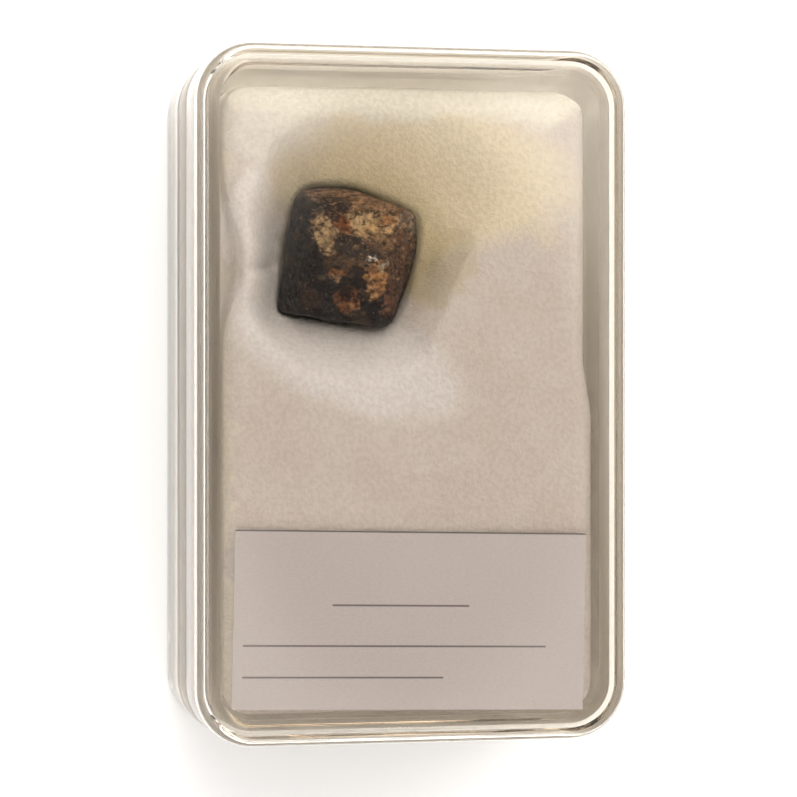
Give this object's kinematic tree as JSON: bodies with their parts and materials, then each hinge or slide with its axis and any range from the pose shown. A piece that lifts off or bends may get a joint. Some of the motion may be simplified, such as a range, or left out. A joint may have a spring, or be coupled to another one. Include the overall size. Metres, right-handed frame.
{
  "type": "meteorite in a display box",
  "caption": "Small angular stony meteorite pressed into a white foam pad, with a blank caption card, in a clear plastic box with a lift-off lid.",
  "frame": {"origin": "centre of the box's underside", "axes": "+Z out through the lid, +Y along the box towards the end that holds the stone, +X across the box"},
  "size_m": [0.038, 0.06, 0.0185],
  "materials": {
    "case_base": "clear polished plastic",
    "case_lid": "clear polished plastic",
    "foam_pad": "soft fine foam",
    "label_card": "matt card",
    "meteorite": "weathered stone"
  },
  "bodies": {
    "root": {"case_base": "case_base", "case_lid": "case_lid", "foam_pad": "foam_pad", "label_card": "label_card", "meteorite": "meteorite"}
  },
  "joints": []
}
